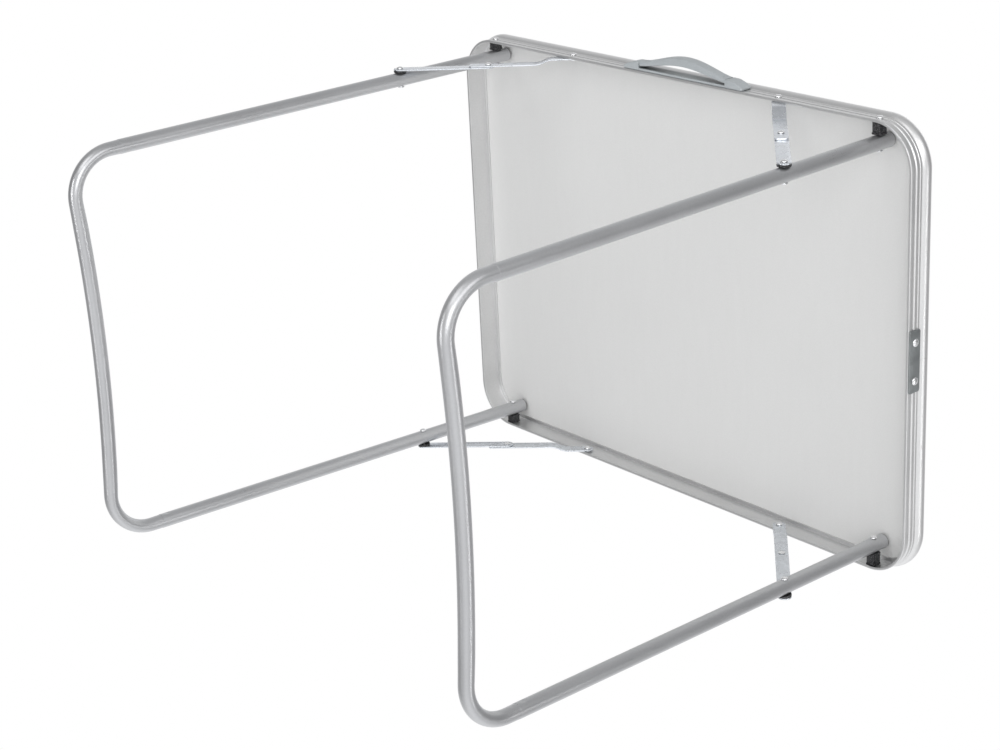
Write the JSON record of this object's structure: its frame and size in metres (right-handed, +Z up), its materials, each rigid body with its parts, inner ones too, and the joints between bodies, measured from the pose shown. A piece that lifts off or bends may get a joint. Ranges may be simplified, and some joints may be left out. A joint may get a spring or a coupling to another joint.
{
  "type": "folding table",
  "caption": "Small camping table with a laminated top in an aluminium edge, two tubular U legs that fold flat beneath it, folding braces and a carrying handle.",
  "frame": {"origin": "on the floor, below the middle of the whole table box with the legs out", "axes": "+X along the top towards the leg that folds first, +Y away from the handle side, +Z up"},
  "size_m": [0.7001, 0.5188, 0.604],
  "materials": {
    "edge_aluminium": "satin, drawn lengthwise",
    "leg_tube": "satin, drawn lengthwise",
    "zinc_steel": "bright zinc plate",
    "splice_steel": "dull zinc plate",
    "panel_laminate": "fine-grained laminate on fibreboard",
    "black_plastic": "moulded, fine grain",
    "grey_plastic": "moulded, fine grain"
  },
  "bodies": {
    "tabletop": {"edge_frame": "edge_aluminium", "handle_base": "grey_plastic", "handle_grip": "grey_plastic", "handle_pin_left": "zinc_steel", "handle_pin_right": "zinc_steel", "left_back_apron_rivet": "zinc_steel", "left_back_pivot_pin": "zinc_steel", "left_back_spacer": "black_plastic", "left_front_apron_rivet": "zinc_steel", "left_front_pivot_pin": "zinc_steel", "left_front_spacer": "black_plastic", "right_back_apron_rivet": "zinc_steel", "right_back_pivot_pin": "zinc_steel", "right_back_spacer": "black_plastic", "right_front_apron_rivet": "zinc_steel", "right_front_pivot_pin": "zinc_steel", "right_front_spacer": "black_plastic", "splice_plate": "splice_steel", "splice_rivet_back": "zinc_steel", "splice_rivet_front": "zinc_steel", "tabletop_panel": "panel_laminate"},
    "right_leg": {"right_back_end_plug": "grey_plastic", "right_back_leg_rivet": "zinc_steel", "right_back_leg_washer": "black_plastic", "right_back_side_tube": "leg_tube", "right_foot_tube": "leg_tube", "right_front_end_plug": "grey_plastic", "right_front_leg_rivet": "zinc_steel", "right_front_leg_washer": "black_plastic", "right_front_side_tube": "leg_tube"},
    "right_front_upper_brace": {"right_front_upper_link": "zinc_steel", "right_front_middle_rivet": "zinc_steel"},
    "right_front_lower_brace": {"right_front_lower_link": "zinc_steel", "right_front_middle_tail": "zinc_steel"},
    "right_back_upper_brace": {"right_back_upper_link": "zinc_steel", "right_back_middle_rivet": "zinc_steel"},
    "right_back_lower_brace": {"right_back_lower_link": "zinc_steel", "right_back_middle_tail": "zinc_steel"},
    "left_leg": {"left_back_end_plug": "grey_plastic", "left_back_leg_rivet": "zinc_steel", "left_back_leg_washer": "black_plastic", "left_back_side_tube": "leg_tube", "left_foot_tube": "leg_tube", "left_front_end_plug": "grey_plastic", "left_front_leg_rivet": "zinc_steel", "left_front_leg_washer": "black_plastic", "left_front_side_tube": "leg_tube"},
    "left_front_upper_brace": {"left_front_upper_link": "zinc_steel", "left_front_middle_rivet": "zinc_steel"},
    "left_front_lower_brace": {"left_front_lower_link": "zinc_steel", "left_front_middle_tail": "zinc_steel"},
    "left_back_upper_brace": {"left_back_upper_link": "zinc_steel", "left_back_middle_rivet": "zinc_steel"},
    "left_back_lower_brace": {"left_back_lower_link": "zinc_steel", "left_back_middle_tail": "zinc_steel"}
  },
  "joints": [
    {"name": "right_leg_fold", "type": "hinge", "parent": "tabletop", "child": "right_leg", "pos_m": [0.298, 0.00945, 0.5804], "axis": [0, 1, 0], "range_deg": [0, 92.33]},
    {"name": "right_front_upper_brace_turn", "type": "hinge", "parent": "tabletop", "child": "right_front_upper_brace", "pos_m": [0.16, -0.23055, 0.5811], "axis": [0, 1, 0], "range_deg": [-45.32, 0]},
    {"name": "right_front_lower_brace_turn", "type": "hinge", "parent": "right_leg", "child": "right_front_lower_brace", "pos_m": [0.30156, -0.22555, 0.43804], "axis": [0, 1, 0], "range_deg": [0, 43.24]},
    {"name": "right_back_upper_brace_turn", "type": "hinge", "parent": "tabletop", "child": "right_back_upper_brace", "pos_m": [0.16, 0.24945, 0.5811], "axis": [0, 1, 0], "range_deg": [-45.32, 0]},
    {"name": "right_back_lower_brace_turn", "type": "hinge", "parent": "right_leg", "child": "right_back_lower_brace", "pos_m": [0.30156, 0.24445, 0.43804], "axis": [0, 1, 0], "range_deg": [0, 43.24]},
    {"name": "left_leg_fold", "type": "hinge", "parent": "tabletop", "child": "left_leg", "pos_m": [-0.298, 0.00945, 0.5804], "axis": [0, -1, 0], "range_deg": [0, 88.57]},
    {"name": "left_front_upper_brace_turn", "type": "hinge", "parent": "tabletop", "child": "left_front_upper_brace", "pos_m": [-0.16, -0.23055, 0.5811], "axis": [0, -1, 0], "range_deg": [-45.32, 0]},
    {"name": "left_front_lower_brace_turn", "type": "hinge", "parent": "left_leg", "child": "left_front_lower_brace", "pos_m": [-0.30156, -0.22555, 0.43804], "axis": [0, -1, 0], "range_deg": [0, 41.79]},
    {"name": "left_back_upper_brace_turn", "type": "hinge", "parent": "tabletop", "child": "left_back_upper_brace", "pos_m": [-0.16, 0.24945, 0.5811], "axis": [0, -1, 0], "range_deg": [-45.32, 0]},
    {"name": "left_back_lower_brace_turn", "type": "hinge", "parent": "left_leg", "child": "left_back_lower_brace", "pos_m": [-0.30156, 0.24445, 0.43804], "axis": [0, -1, 0], "range_deg": [0, 41.79]}
  ],
  "couplings": [
    {"joint": "right_front_upper_brace_turn", "follows": "right_leg_fold", "ratio": -0.49063},
    {"joint": "right_front_lower_brace_turn", "follows": "right_leg_fold", "ratio": 0.46812},
    {"joint": "right_back_upper_brace_turn", "follows": "right_leg_fold", "ratio": -0.49063},
    {"joint": "right_back_lower_brace_turn", "follows": "right_leg_fold", "ratio": 0.46812},
    {"joint": "left_front_upper_brace_turn", "follows": "left_leg_fold", "ratio": -0.51149},
    {"joint": "left_front_lower_brace_turn", "follows": "left_leg_fold", "ratio": 0.47166},
    {"joint": "left_back_upper_brace_turn", "follows": "left_leg_fold", "ratio": -0.51149},
    {"joint": "left_back_lower_brace_turn", "follows": "left_leg_fold", "ratio": 0.47166}
  ]
}
